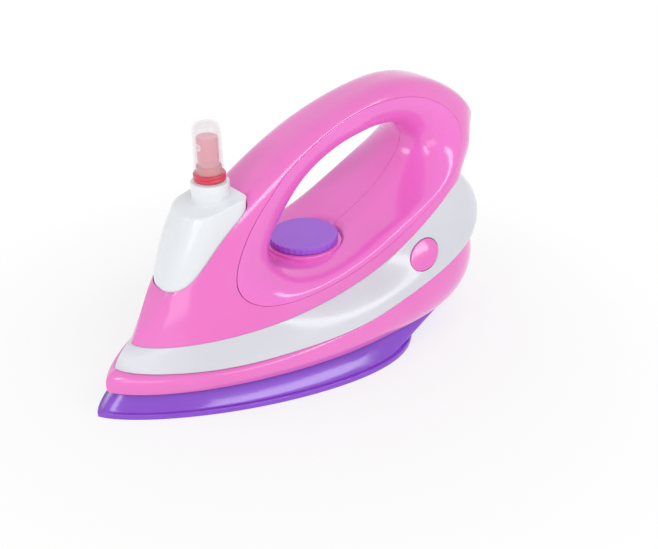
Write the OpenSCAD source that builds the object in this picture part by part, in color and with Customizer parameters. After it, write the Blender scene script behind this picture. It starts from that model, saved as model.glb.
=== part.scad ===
// Toy iron with a spray bottle in its nose, a turning dial and two side buttons.
// Units are millimetres. The nose points along +X, the side seen in the photograph along +Y,
// and the sole stands on the plane z = 0, below the middle of the whole length.

/* [Whole iron] */
// Length from the tip of the sole to the back of the heel
body_l = 220; // [180:1:260]
// Height of the handle above the table
body_h = 120; // [100:1:140]
// Wall of the moulded shells
wall = 2.2; // [1.6:0.1:3]
// Parting gap between two shells that lie on each other
seam = 0.2; // [0.1:0.05:0.4]

/* [Sole] */
// Width of the sole's rim
sole_w = 107; // [90:1:120]
// Thickness of the sole's rim
sole_rim_t = 2.7; // [2:0.1:4]
// How far the sole's back edge stops short of the heel
sole_heel_gap = 54; // [40:1:60]
// Width of the ledge on top of the rim
sole_ledge = 2; // [1:0.1:4]
// Height of the sole with its sloping side
sole_h = 12.6; // [11.5:0.1:16]
// Height at which the sole's sloping side turns upright
sole_cove_z = 9.4; // [6:0.1:9.6]
// Room between the sole and the skirt's lip
sole_gap = 0.4; // [0.3:0.05:0.8]
// Floor of the sole
sole_floor_t = 2.4; // [1.8:0.1:3.5]

/* [Skirt] */
// Width of the skirt at its round bulge
skirt_w = 102.4; // [90:0.2:116]
// Height of the skirt's lower edge
skirt_low = 12.5; // [11.5:0.1:14]
// Width of the skirt's lower edge
foot_w = 96; // [90:0.5:100]
// Thickness of the skirt's lip
lip_w = 1.4; // [1:0.1:2]
// Inset of the seat for the sole
seat_inset = 3.2; // [2.5:0.1:5]
// Height of the skirt's upper edge at the heel
skirt_high = 41.7; // [36:0.1:46]
// Floor of the skirt
skirt_floor_t = 2; // [1.5:0.1:3]

/* [White band] */
// Width of the band at its fullest
band_w = 91; // [84:0.5:100]
// Width of the band's lower edge
waist_w = 99.4; // [88:0.2:112]
// Height of the band's upper edge at the heel
band_high = 80; // [74:0.5:86]

/* [Upper body and handle] */
// Width of the upper body along its lower edge
upper_w = 70.5; // [64:0.5:80]
// Width between the two ridges of the handle
grip_w = 30; // [24:0.5:38]
// Rounded lip inside the groove
lip = 5; // [2:0.5:8]

/* [Spray bottle] */
// Distance of the bottle's back behind the sole's tip
tank_reach = 75.8; // [74:0.1:77]
// Length of the bottle
tank_l = 39.4; // [36:0.2:41]
// Width of the bottle
tank_w = 27.8; // [24:0.2:29]
// Height at which the bottle's front starts to lean back
lean_z = 53; // [48:0.5:58]
// Height of the bottle's floor above the table
tank_floor_z = 31; // [26:0.5:38]
// Wall of the bottle
tank_wall = 1.6; // [1.2:0.1:2.4]
// Room between the bottle and its tub
tank_gap = 0.4; // [0.3:0.05:0.8]
// Height from which the tub's rear corners are open, beside the lining
tub_open_z = 68; // [60:0.5:68.5]
// Length of the tub's open rear corners
tub_open_l = 10; // [10:0.5:14]
// Width of the tub's back between them
tub_back_w = 25; // [18:0.5:25]
// Distance of the sprayer's axis behind the sole's tip
spray_reach = 65.4; // [60:0.2:70]
// Diameter of the bottle's neck
neck_d = 16.8; // [15:0.1:20]
// Height of the bottle's flat shoulder above the table
shoulder_z = 83.3; // [81:0.1:86]
// Rise of the bottle's top at its back edge
shoulder_rise = 4.9; // [2:0.1:5]
// Height of the neck's rim above the table
neck_top_z = 94.2; // [91:0.2:98]
// Bore of the neck
neck_bore_d = 12.4; // [11:0.1:14]

/* [Sprayer] */
// Diameter of the red closure ring
ring_d = 14.1; // [13:0.1:16]
// Height of the red closure ring
ring_h = 3.5; // [3:0.1:5]
// Diameter of the clear cap at its mouth
cap_d = 12.7; // [12:0.1:14]
// Height of the clear cap
cap_h = 21.6; // [18:0.2:26]
// Wall of the clear cap
cap_wall = 0.8; // [0.6:0.1:1.2]
// Diameter of the push button on the pump
pusher_d = 9.2; // [8:0.1:10]
// Stroke of the pump
pump_stroke = 4; // [2:0.5:4.5]
// Running clearance of the pump's pieces, on the radius
pump_fit = 0.05; // [0.03:0.01:0.1]
// Thickness of the gasket on the neck
gasket_t = 0.5; // [0.3:0.1:1]
// Height of the ring's collar inside the clear cap
collar_h = 3; // [2:0.1:4]
// Depth of the plug in the neck
plug_l = 8.7; // [7:0.1:10]
// Thickness of the plug's top plate
plate_t = 2.4; // [1.6:0.1:3]
// Diameter of the pump's stem
stem_d = 3.2; // [2.6:0.1:4]
// Height of the pump's piston
piston_h = 3; // [2:0.1:4]
// Bore of the pump's chamber
chamber_bore_d = 6; // [5:0.1:7]
// Outer diameter of the pump's chamber
chamber_d = 7.8; // [7:0.1:9]
// Depth of the pump's chamber below the plate
chamber_l = 23.4; // [20:0.2:26]
// Outer diameter of the dip tube
tube_d = 2.8; // [2.2:0.1:3.2]
// Height of the push button on the pump
pusher_h = 13.8; // [11:0.1:15]
// Height of the nozzle above the push button's foot
nozzle_h = 9.6; // [7:0.1:11]
// Diameter of the nozzle insert
nozzle_d = 3.4; // [2.4:0.1:4]

/* [Dial] */
// Diameter of the dial
dial_d = 33.2; // [28:0.2:38]
// Thickness of the dial's disc
dial_t = 3; // [2:0.1:5]
// Distance of the dial's axis behind the middle
dial_back = 5.2; // [2:0.2:10]
// Height of the dial's top face above the table
dial_z = 52.6; // [49:0.2:55]
// Forward tilt of the dial
dial_tilt = 1.5; // [0:0.5:10]
// Number of grip flutes round the dial
dial_flutes = 36; // [24:1:48]
// Diameter of the dial's shaft
shaft_d = 6; // [5:0.1:8]
// Running clearance of the shaft, on the radius
shaft_fit = 0.08; // [0.04:0.01:0.1]
// Length of the dial's shaft below its disc
shaft_l = 16.4; // [15:0.1:20]
// Depth of the flutes
flute_depth = 0.5; // [0.2:0.1:0.8]
// Room round the dial's disc
dial_room = 0.6; // [0.4:0.1:1.2]
// Width of the seat's rim round the dial
seat_rim_w = 1.1; // [0.8:0.1:2]
// Height of the seat's rim above its floor
seat_rim_h = 1.8; // [1:0.1:3]
// Thickness of the seat's floor
seat_t = 2; // [1.6:0.1:3]
// Depth of the seat's flange below the dial's top face
flange_depth = 8.6; // [8:0.1:9.6]
// Thickness of the seat's flange
flange_t = 1.6; // [1.2:0.1:2.4]
// Width of the flange outside the seat
flange_w = 3.4; // [2:0.1:4]
// Diameter of the boss round the shaft
seat_boss_d = 11; // [9:0.2:14]
// Depth of the boss below the dial's top face
seat_boss_depth = 16.2; // [14:0.1:17]
// Thickness of the washer and of the clip
clip_t = 0.8; // [0.6:0.1:1.2]

/* [Side buttons] */
// Length of the oval side buttons
button_l = 19; // [16:0.2:21]
// Width of the oval side buttons
button_w = 12.3; // [11:0.1:13]
// Distance of the side buttons behind the middle
button_back = 46.2; // [40:0.1:50]
// Distance of the side buttons' middles from the middle plane
button_y = 41.6; // [41:0.1:43.5]
// Height of the side buttons above the table
button_z = 44.1; // [43:0.1:46]
// Upward tilt of the side buttons
button_tilt = 41; // [35:0.5:55]
// Forward turn of the side buttons
button_yaw = 13; // [0:0.2:20]
// Slant of the side buttons along the band
button_roll = 37.6; // [20:0.2:45]
// Rise of the side buttons' domes
button_dome = 0.9; // [0.4:0.1:1.5]
// Thickness of the side buttons with their flanges
button_t = 7; // [6:0.1:8]
// Room round the side buttons
button_room = 0.25; // [0.2:0.05:0.5]
// Width of the side buttons' flanges
button_flange_w = 1; // [0.6:0.1:1.2]
// Thickness of the side buttons' flanges
button_flange_t = 1.2; // [0.8:0.1:1.6]
// Stroke of the side buttons
button_stroke = 1.6; // [1:0.1:2.5]

/* [Screws] */
// Diameter of the screws' shanks
screw_d = 2.8; // [2.2:0.1:3.5]
// Diameter of the screws' heads
screw_head_d = 5.4; // [4.5:0.1:7]
// Length of the screws' shanks
screw_l = 14; // [12:0.5:16]
// Height of the screws' heads
screw_head_h = 1.7; // [1.2:0.1:2]
// Depth of the screws' heads below the sole
screw_sink = 0.4; // [0.2:0.1:1]
// Room round a screw in the sole
screw_room = 0.2; // [0.1:0.05:0.4]
// Running clearance of a screw in its post, on the radius
screw_fit = 0.05; // [0.02:0.01:0.1]
// Diameter of the bosses and posts for the screws
screw_post_d = 8; // [7:0.1:10]
// Distance of the front screws ahead of the middle
screw_front_x = 56; // [50:0.5:62]
// Distance of the front screws from the middle plane
screw_front_y = 18; // [14:0.5:20]
// Distance of the back screws behind the middle
screw_back_x = 55; // [48:0.5:60]
// Distance of the back screws from the middle plane
screw_back_y = 27; // [20:0.5:30]

/* [Springs] */
// Wire of the springs
wire_d = 0.7; // [0.5:0.05:1]
// Diameter of the pump's spring over its wire
pump_spring_d = 5.4; // [4.6:0.1:5.6]
// Turns of the pump's spring
pump_spring_turns = 6; // [4:1:8]
// Diameter of the side buttons' springs over their wire
button_spring_d = 6.6; // [6:0.1:8]
// Turns of the side buttons' springs
button_spring_turns = 4; // [3:1:6]
// Diameter of the pin inside a side button's spring
spring_pin_d = 4; // [3:0.1:4.6]
// Length of the pin inside a side button's spring
spring_pin_l = 4; // [3:0.1:4.5]
// Depth of a side button's post below its rim
button_post_depth = 12.8; // [12:0.1:13.2]
// Thickness of a side button's post
button_post_t = 3; // [2:0.1:4]
// Diameter of a side button's post under its spring
button_post_w = 9; // [7:0.1:10]

/* [Hidden] */
$fn = 48;

// Stations along half an outline, and steps up a shell's wall
stations = 36;
steps = 7;
back_steps = 4;
turns = 52;
coil_points = 12;
wire_sides = 6;
// Length added to a cut so that it passes its faces
over = 1;
// Distances below this count as none
tiny = 0.0001;

// Ends of the outlines
nose_x = body_l/2;
tail_x = -body_l/2;
tank_back_x = body_l/2 - tank_reach;
spray_x = body_l/2 - spray_reach;
// Middle of the skirt's floor, where posts end inside it
skirt_top_z = sole_h + skirt_floor_t;
skirt_mid_z = sole_h + skirt_floor_t/2;

// Small helpers
function mix(a, b, t) = a + (b - a)*t;
function unit(v) = v/norm(v);
function flip_y(p) = [p.x, -p.y, p.z];

// A smooth curve over a list of control values, straight out at its ends or mirrored at the last
function blend(a, b, c, d, t) =
    (a*pow(1 - t, 3) + b*(3*pow(t, 3) - 6*pow(t, 2) + 4)
    + c*(3*t + 3*pow(t, 2) - 3*pow(t, 3) + 1) + d*pow(t, 3))/6;
function curve(list, u, past = undef) =
    let (n = len(list) - 1,
         k = min(floor(u*n), n - 1),
         first = k > 0 ? list[k - 1] : 2*list[0] - list[1],
         last = k < n - 1 ? list[k + 2] : (is_undef(past) ? 2*list[n] - list[n - 1] : past))
    blend(first, list[k], list[k + 1], last, u*n - k);
function loop(list, u) =
    let (n = len(list),
         k = floor(u*n),
         at = function (i) list[(i + n) % n])
    blend(at(k - 1), at(k), at(k + 1), at(k + 2), u*n - k);

// An outline seen from above, from the nose at s = 0 to the heel at s = 1.
// Its shares: nose gap, heel gap and widest place of the length, then the nose and heel powers
rim_shares = [0, sole_heel_gap/body_l, 0.023, 1.62, 2.6];
foot_shares = [0.0275, 0.073, 0.054, 1.8, 3.6];
bulge_shares = [0.0295, 0.041, 0.064, 1.8, 3.6];
waist_shares = [0.05, 0.043, 0.068, 1.75, 3.4];
belly_shares = [0.066, 0, 0.082, 1.75, 3.3];
brow_shares = [0.091, 0.0705, 0.077, 2.85, 6];
side_power = 1.3;

function along(s) = (1 - cos(180*s))/2;
function outline(s, shares, width, z, deep = 0) =
    let (nose = nose_x - shares[0]*body_l - deep,
         tail = tail_x + shares[1]*body_l + deep,
         wide = -shares[2]*body_l,
         x = mix(nose, tail, along(s)),
         u = min(1, max(0, x >= wide ? (x - wide)/(nose - wide) : (wide - x)/(wide - tail))),
         y = x >= wide ? pow(1 - pow(u, shares[3]), 1/side_power) : sqrt(1 - pow(u, shares[4])))
    [x, s <= 0 || s >= 1 ? 0 : (width/2 - deep)*y, z];

// Heights of the curved edges from the nose to the heel, as shares of a named height
foot_z_shares = [0.84, 0.82, 0.82, 0.86, 0.94, 1, 1.05, 1.1, 1.12, 1.12, 1.12];
bulge_z_shares = [0.41, 0.41, 0.41, 0.415, 0.437, 0.472, 0.528, 0.588, 0.624, 0.647, 0.66];
waist_z_shares = [0.5, 0.463, 0.458, 0.46, 0.54, 0.604, 0.765, 0.911, 0.976, 0.995, 1];
belly_z_shares = [0.338, 0.314, 0.304, 0.321, 0.357, 0.401, 0.482, 0.57, 0.625, 0.632, 0.622];
brow_z_shares = [0.374, 0.361, 0.377, 0.398, 0.423, 0.469, 0.554, 0.744, 0.919, 0.857, 0.781];

foot_edge = function (s, deep = 0)
    outline(s, foot_shares, foot_w, skirt_low*curve(foot_z_shares, s), deep);
bulge_edge = function (s, deep = 0)
    outline(s, bulge_shares, skirt_w, skirt_high*curve(bulge_z_shares, s), deep);
waist_edge = function (s, deep = 0)
    outline(s, waist_shares, waist_w, skirt_high*curve(waist_z_shares, s), deep);
belly_edge = function (s, deep = 0)
    outline(s, belly_shares, band_w, band_high*curve(belly_z_shares, s), deep);
brow_edge = function (s, deep = 0)
    outline(s, brow_shares, upper_w, band_high*curve(brow_z_shares, s), deep);
function lowered(p, d) = [p.x, p.y, p.z - d];

// A full section through three edges
function arch(low, middle, high, t) =
    low*pow(1 - t, 2) + (2*middle - (low + high)/2)*2*t*(1 - t) + high*pow(t, 2);

// The upper body: its spine, the half width of its ridges, and its skin between edge and spine
spine_x_shares = [0.818, 0.764, 0.655, 0.477, 0.236, -0.027, -0.345, -0.655, -0.895, -1.0, -0.859];
rise_shares = [0, 0.1012, 0.2744, 0.4902, 0.6831, 0.8678, 0.9897, 1.0283, 0.7445, 0.3179, 0];
ridge_shares = [0, 0.34, 0.7, 0.97, 1.03, 1.0, 0.97, 0.98, 1.12, 1.22, 0];
side_share = 0.55;
shoulder_share = 0.1;
crown_share = 0.3;
function spine_line(s) =
    let (low = band_high*curve(brow_z_shares, s))
    [body_l/2*curve(spine_x_shares, s), 0, mix(low, body_h, curve(rise_shares, s))];
function spine(s, deep = 0) =
    let (step = 0.01,
         d = unit(spine_line(min(1, s + step)) - spine_line(max(0, s - step))))
    spine_line(s) - deep*[d.z, 0, -d.x];
function skin(s, v, deep = 0) =
    let (low = brow_edge(s, deep),
         top = spine(s, deep),
         ends = s <= 0 || s >= 1,
         ridge = top + [0, ends ? 0 : max(0, grip_w/2*curve(ridge_shares, s) - deep), 0],
         side = mix(ridge, low, side_share) + [0, ends ? 0 : wall*sin(180*s), 0],
         outer = mix(ridge, low, shoulder_share),
         inner = mix(ridge, top, crown_share),
         p = curve([low, side, outer, inner, top], v, flip_y(inner)))
    v >= 1 || ends ? [p.x, 0, p.z] : p;

// The groove in the side and the hand hole behind it, as shares of the skin and of the whole size
groove_s_shares = [
    0.297, 0.336, 0.433, 0.553, 0.663, 0.768, 0.798,
    0.792, 0.7, 0.624, 0.56, 0.427, 0.417, 0.354];
groove_v_shares = [
    0.278, 0.087, 0.046, 0.041, 0.05, 0.046, 0.188,
    0.38, 0.527, 0.595, 0.649, 0.592, 0.556, 0.479];
hole_x_shares = [
    0.182, 0.209, 0.109, -0.055, -0.2, -0.364, -0.509,
    -0.609, -0.618, -0.518, -0.336, -0.127, 0.027, 0.1];
hole_z_shares = [
    0.533, 0.442, 0.383, 0.394, 0.429, 0.488, 0.575,
    0.683, 0.767, 0.821, 0.821, 0.775, 0.683, 0.592];
groove_mid_shares = [0.56, 0.33];
function groove(u) = [loop(groove_s_shares, u), loop(groove_v_shares, u)];
function hole(u) = [body_l/2*loop(hole_x_shares, u), 0, body_h*loop(hole_z_shares, u)];

// The bottle's outline seen from above, from its back to its front, moved in by d
plan_n = 20;
plan_mid_share = 0.45;
back_power = 9;
front_power = 2.8;
function bottle_plan(k, d) =
    let (a = 180*(1 - k/plan_n),
         n = a > 90 ? back_power : front_power,
         mid = tank_back_x + plan_mid_share*tank_l,
         end = a > 90 ? tank_back_x + d : tank_back_x + tank_l - d)
    [mid + (end - mid)*pow(abs(cos(a)), 2/n), k <= 0 || k >= plan_n ? 0 : (tank_w/2 - d)*pow(sin(a), 2/n)];
function bottle_ring(d) = concat(
    [for (k = [0:plan_n]) bottle_plan(k, d)],
    [for (k = [plan_n - 1:-1:1]) let (p = bottle_plan(k, d)) [p.x, -p.y]]);

// The rim of the upper skin, once round: its lower edge, then back along the spine
edge_n = 36;
rim_n = edge_n + 30;
turn_share = 0.52;
function rim(j) = j < edge_n ? [j/edge_n, 0] : [1 - (j - edge_n)/(rim_n - edge_n), 1];
function turn(j) = j < edge_n ? turn_share*j/edge_n : mix(turn_share, 1, (j - edge_n)/(rim_n - edge_n));

// Triangles between rows of points, and closed solids made of them
function quad(a, b, c, d) = [[a, b, c], [a, c, d]];
function weave(rows, cols, wrap_rows, wrap_cols) = [
    for (i = [0:rows - (wrap_rows ? 1 : 2)])
    for (j = [0:cols - (wrap_cols ? 1 : 2)])
    let (i2 = (i + 1) % rows, j2 = (j + 1) % cols)
    each quad(i*cols + j, i2*cols + j, i2*cols + j2, i*cols + j2)];
function flat(list) = [for (row = list) each row];
function apart(a, b) = norm(a - b) > tiny;
function is_real(p, f) = apart(p[f[0]], p[f[1]]) && apart(p[f[1]], p[f[2]]) && apart(p[f[2]], p[f[0]]);
function off_middle(p, f) = max([for (i = f) abs(p[i].y)]) > tiny;

module solid(rows, turned = false) {
    points = flat(rows);
    faces = weave(len(rows), len(rows[0]), true, true);
    real = [for (f = faces) if (is_real(points, f)) turned ? [f[2], f[1], f[0]] : f];
    polyhedron(points, real, convexity = 10);
}

// A solid that is the same on both sides: the rows hold its left half and end on the middle plane
module twin_solid(rows, wrap_rows = false, wrap_cols = false, turned = false) {
    half = flat(rows);
    n = len(half);
    faces = weave(len(rows), len(rows[0]), wrap_rows, wrap_cols);
    real = [for (f = faces) if (is_real(half, f) && off_middle(half, f)) turned ? [f[2], f[1], f[0]] : f];
    other = [for (f = real) [f[2] + n, f[1] + n, f[0] + n]];
    polyhedron(concat(half, [for (p = half) flip_y(p)]), concat(real, other), convexity = 10);
}
function to_middle(p) = [p.x, 0, p.z];
function reversed(list) = [for (i = [len(list) - 1:-1:0]) list[i]];
function each_turn(f) = [for (i = [0:turns - 1]) f(i/turns)];
function each_station(f) = [for (i = [0:stations]) f(i/stations)];

// A tube whose rows are closed rings, shut at both ends
module tube(rows) {
    points = flat(rows);
    faces = weave(len(rows), len(rows[0]), false, true);
    polyhedron(points, [for (f = faces) if (is_real(points, f)) [f[2], f[1], f[0]]], convexity = 10);
}

// Rows of points along the stations of an outline
function ring(shares, width, z, deep) = each_station(function (s) outline(s, shares, width, z, deep));
function middle(row) = [for (p = row) to_middle(p)];
function midline(row) =
    let (n = len(row) - 1)
    [for (i = [0:n]) [mix(row[0].x, row[n].x, i/n), 0, row[i].z]];
function mix_rows(a, b, t) = [for (i = [0:len(a) - 1]) mix(a[i], b[i], t)];
function arch_row(low, peak, high, t, deep) = each_station(function (s)
    arch(low(s, deep), peak(s, deep), high(s, deep), t));
function foot_row(z, deep) = ring(foot_shares, foot_w, z, deep);

// Places and shapes that several pieces share
module at_screws(z = 0) {
    for (side = [-1, 1]) {
        translate([screw_front_x, side*screw_front_y, z]) children();
        translate([-screw_back_x, side*screw_back_y, z]) children();
    }
}
module at_dial(depth = 0) {
    translate([-dial_back, 0, dial_z]) rotate([0, dial_tilt, 0]) translate([0, 0, -depth]) children();
}
// Facing outward along a side button's axis, from a depth below its rim; its long side along x
button_way = [sin(button_yaw)*cos(button_tilt), cos(button_yaw)*cos(button_tilt), sin(button_tilt)];
module on_side(side) {
    if (side < 0) mirror([0, 1, 0]) children();
    else children();
}
module at_button(side, depth) {
    on_side(side) translate([-button_back, button_y, button_z])
        rotate([button_tilt - 90, 0, -button_yaw]) rotate([0, 0, button_roll])
            translate([0, 0, -depth]) children();
}
module button_oval(room, height) {
    wide = button_w + 2*room;
    linear_extrude(height) scale([(button_l + 2*room)/wide, 1]) circle(d = wide);
}
module at_sprayer(z) {
    translate([spray_x, 0, z]) children();
}

// A coil spring standing on its lower end
module coil(outer_d, loops, length) {
    r = (outer_d - wire_d)/2;
    rise = length - wire_d;
    count = loops*coil_points;
    rows = [for (i = [0:count])
        let (a = 360*i/coil_points,
             c = [r*cos(a), r*sin(a), wire_d/2 + rise*i/count])
        [for (j = [0:wire_sides - 1])
            let (b = 360*j/wire_sides)
            c + wire_d/2*[cos(a)*cos(b), sin(a)*cos(b), sin(b)]]];
    foot = [for (p = rows[0]) [r, 0, wire_d/2]];
    head = [for (p = rows[0]) [r*cos(360*loops), r*sin(360*loops), wire_d/2 + rise]];
    tube(concat([foot], rows, [head]));
}

// The sole: a shallow pan with a rim, sloping sides and four screw bosses
sole_inset = seat_inset + sole_gap;
module sole_plate() {
    ledge = ring(rim_shares, sole_w, sole_rim_t, sole_ledge);
    shore = foot_row(sole_cove_z, sole_inset);
    floor_row = ring(rim_shares, sole_w, sole_floor_t, sole_ledge + 2*wall);
    color("#8447c8") difference() {
        union() {
            twin_solid(concat(
                [middle(ring(rim_shares, sole_w, 0, 0)), ring(rim_shares, sole_w, 0, 0)],
                [ring(rim_shares, sole_w, sole_rim_t, 0), ledge],
                [for (t = [1:3]) mix_rows(ledge, shore, pow(t/4, 0.8))],
                [shore, foot_row(sole_h, sole_inset), foot_row(sole_h, sole_inset + wall)],
                [foot_row(sole_cove_z + 0.8*wall, sole_inset + wall), floor_row, middle(floor_row)]));
            at_screws(sole_floor_t/2) cylinder(d = screw_post_d, h = sole_h - sole_floor_t/2);
        }
        at_screws(-over) cylinder(d = screw_d + 2*screw_room, h = sole_h + 2*over);
        at_screws(-over) cylinder(d = screw_head_d + 2*screw_room, h = over + screw_sink + screw_head_h);
    }
}

// The four screws from below, each with a crossed recess
module sole_screws() {
    slot_w = screw_head_d/6;
    slot_l = screw_head_d*0.6;
    color("#b9bcc2") at_screws(screw_sink) difference() {
        union() {
            cylinder(d = screw_head_d, h = screw_head_h);
            translate([0, 0, screw_head_h/2]) cylinder(d = screw_d, h = screw_l + screw_head_h/2);
        }
        translate([-slot_l/2, -slot_w/2, -over]) cube([slot_l, slot_w, over + screw_head_h/2]);
        translate([-slot_w/2, -slot_l/2, -over]) cube([slot_w, slot_l, over + screw_head_h/2]);
    }
}

// The pink skirt with its floor, and the posts for the screws, the dial's seat and the buttons' springs
button_foot = [-button_back, button_y, button_z] - (button_post_depth + button_post_t)*button_way;
module dial_posts() {
    reach = dial_d/2 + seat_rim_w + flange_w/2;
    difference() {
        for (a = [90, 210, 330])
            translate([-dial_back + reach*cos(a), reach*sin(a), skirt_mid_z])
                cylinder(d = screw_post_d*0.75, h = dial_z - skirt_mid_z);
        at_dial(flange_depth + flange_t) cylinder(r = 2*reach, h = flange_depth + 2*flange_t + reach);
    }
}
module base_skirt() {
    rim_row = arch_row(foot_edge, bulge_edge, waist_edge, 1, 0);
    floor_row = foot_row(skirt_top_z, seat_inset + wall);
    color("#ef6cc6") difference() {
        union() {
            twin_solid(concat(
                [middle(foot_row(sole_h, seat_inset)), foot_row(sole_h, seat_inset)],
                [each_station(function (s) foot_edge(s, lip_w))],
                [for (k = [0:steps - 1]) arch_row(foot_edge, bulge_edge, waist_edge, k/steps, 0)],
                [[for (p = rim_row) lowered(p, seam)]],
                [[for (p = arch_row(foot_edge, bulge_edge, waist_edge, 1, wall)) lowered(p, seam)]],
                [for (k = [1:back_steps - 1])
                    arch_row(foot_edge, bulge_edge, waist_edge, 1 - 0.72*k/(back_steps - 1), wall)],
                [floor_row, middle(floor_row)]));
            at_screws(skirt_mid_z) cylinder(d = screw_post_d, h = screw_l - skirt_mid_z + sole_h/2);
            dial_posts();
            for (side = [-1, 1]) {
                on_side(side) translate([button_foot.x, button_foot.y, skirt_mid_z])
                    cylinder(d = button_post_w*0.6, h = button_foot.z - skirt_mid_z);
                at_button(side, button_post_depth + button_post_t)
                    cylinder(d = button_post_w, h = button_post_t);
                at_button(side, button_post_depth + button_post_t/2)
                    cylinder(d = spring_pin_d, h = spring_pin_l + button_post_t/2);
            }
        }
        at_screws(sole_h - over) cylinder(d = screw_d + 2*screw_fit, h = screw_l + 2*over);
    }
}

// The white band, a closed ring with a hole for each side button
module side_band() {
    color("#e6e7ee") difference() {
        twin_solid(concat(
            [for (k = [0:steps - 1]) arch_row(waist_edge, belly_edge, brow_edge, k/steps, 0)],
            [[for (p = arch_row(waist_edge, belly_edge, brow_edge, 1, 0)) lowered(p, seam)]],
            [[for (p = arch_row(waist_edge, belly_edge, brow_edge, 1, wall)) lowered(p, seam)]],
            [for (k = [1:back_steps]) arch_row(waist_edge, belly_edge, brow_edge, 1 - k/back_steps, wall)]),
            wrap_rows = true);
        for (side = [-1, 1])
            at_button(side, button_post_depth) button_oval(button_room, 2*button_post_depth);
    }
}

// The upper body: the handle's outer skin, the nose, and a tub for the bottle let into it
function skin_rows(deep, count) = [for (i = [0:count]) [for (j = [0:rim_n - 1])
    let (q = mix(groove(turn(j)), rim(j), i/count))
    skin(q[0], q[1], deep)]];
module filled_skin(deep, bottom) {
    low = each_station(function (s) let (p = brow_edge(s, deep)) [p.x, p.y, bottom]);
    twin_solid(concat(
        [middle(low), low],
        [for (i = [0:steps + 1]) each_station(function (s) skin(s, i/(steps + 1), deep))]));
}
module body_shell() {
    tub_z = tank_floor_z - seam;
    tub_back_x = tank_back_x - tank_gap - wall;
    color("#ef6cc6") difference() {
        union() {
            twin_solid(concat(skin_rows(0, steps), reversed(skin_rows(wall, back_steps))),
                wrap_rows = true, wrap_cols = true, turned = true);
            intersection() {
                difference() {
                    translate([0, 0, tub_z - wall])
                        linear_extrude(body_h) polygon(bottle_ring(-tank_gap - wall));
                    for (side = [-1, 1])
                        translate([tub_back_x - wall, side*(tub_back_w + tank_w)/2 - tank_w/2, tub_open_z])
                            cube([tub_open_l + wall, tank_w, body_h]);
                }
                filled_skin(wall/2, tub_z - 2*wall);
            }
        }
        translate([0, 0, tub_z]) linear_extrude(body_h) polygon(bottle_ring(-tank_gap));
    }
}

// The two halves that line the hand hole, meeting on the middle plane
hole_mid_shares = [-0.25, 0, 0.64];
groove_gap_share = 0.008;
lip_step_share = 0.05;
reach_share = 0.85;
function bezier(a, b, c, d, t) =
    a*pow(1 - t, 3) + b*(3*t*pow(1 - t, 2)) + c*(3*pow(t, 2)*(1 - t)) + d*pow(t, 3);
function lining(u, t, deep) =
    let (g = mix(groove(u), groove_mid_shares, groove_gap_share),
         g2 = mix(groove(u), groove_mid_shares, lip_step_share),
         a = skin(g[0], g[1], deep),
         b = a + lip*unit(skin(g2[0], g2[1], deep) - a),
         centre = [body_l/2*hole_mid_shares[0], 0, body_h*hole_mid_shares[2]],
         h = hole(u) + [0, seam/2, 0],
         d = h + deep*unit([h.x - centre.x, 0, h.z - centre.z]),
         c = d + [0, reach_share*a.y, 0])
    bezier(a, b, c, d, t);
module liner_left() {
    color("#ea5fc0") difference() {
        solid(concat(
            [for (k = [0:steps + 1]) each_turn(function (u) lining(u, k/(steps + 1), 0))],
            [for (k = [back_steps + 1:-1:0]) each_turn(function (u) lining(u, k/(back_steps + 1), wall))]));
        at_dial(flange_depth + flange_t) cylinder(r = seat_r + seam, h = 2*flange_depth);
    }
}
module liner_right() {
    mirror([0, 1, 0]) liner_left();
}

// The bottle: upright walls in the tub, a leaning front above it, a sloping flat top and a neck
top_x_share = 0.667;
top_bulge_share = 0.12;
lean_power = 0.9;
bottle_front = tank_back_x + top_x_share*tank_l;
function bottle_top(x) = shoulder_z + shoulder_rise*(bottle_front - x)/(bottle_front - tank_back_x);
function bottle(k, t, d) =
    let (back = tank_back_x + d,
         p = bottle_plan(k, d),
         x = mix(back, p.x, top_x_share),
         high = [x, p.y, bottle_top(x)],
         rest = max(0, min(1, (tank_back_x + tank_l - d - p.x)/(tank_l - 2*d))),
         low = [p.x, p.y, mix(lean_z, bottle_top(p.x) - wall, pow(rest, lean_power))])
    mix(low, high, t) + [top_bulge_share*(p.x - x)*sin(180*t), 0, 0];
module bottle_body(d, floor_z, drop) {
    base = [for (k = [0:plan_n]) let (p = bottle(k, 0, d)) [p.x, p.y, floor_z]];
    top = [for (k = [0:plan_n]) lowered(bottle(k, 1, d), drop)];
    n = plan_n;
    top_middle = [for (k = [0:n]) let (x = mix(top[0].x, top[n].x, k/n)) [x, 0, bottle_top(x) - drop]];
    twin_solid(concat(
        [midline(base), base],
        [for (i = [0:4]) [for (k = [0:n]) lowered(bottle(k, i/5, d), drop)]],
        [top, top_middle]), turned = true);
}
module water_tank() {
    neck_root = shoulder_z - tank_wall/2;
    color("#e8e9ef") difference() {
        union() {
            bottle_body(0, tank_floor_z, 0);
            at_sprayer(neck_root) cylinder(d = neck_d, h = neck_top_z - neck_root);
        }
        bottle_body(tank_wall, tank_floor_z + tank_wall, tank_wall);
        at_sprayer(neck_root - 2*tank_wall)
            cylinder(d = neck_bore_d, h = neck_top_z - neck_root + 3*tank_wall);
    }
}

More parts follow.
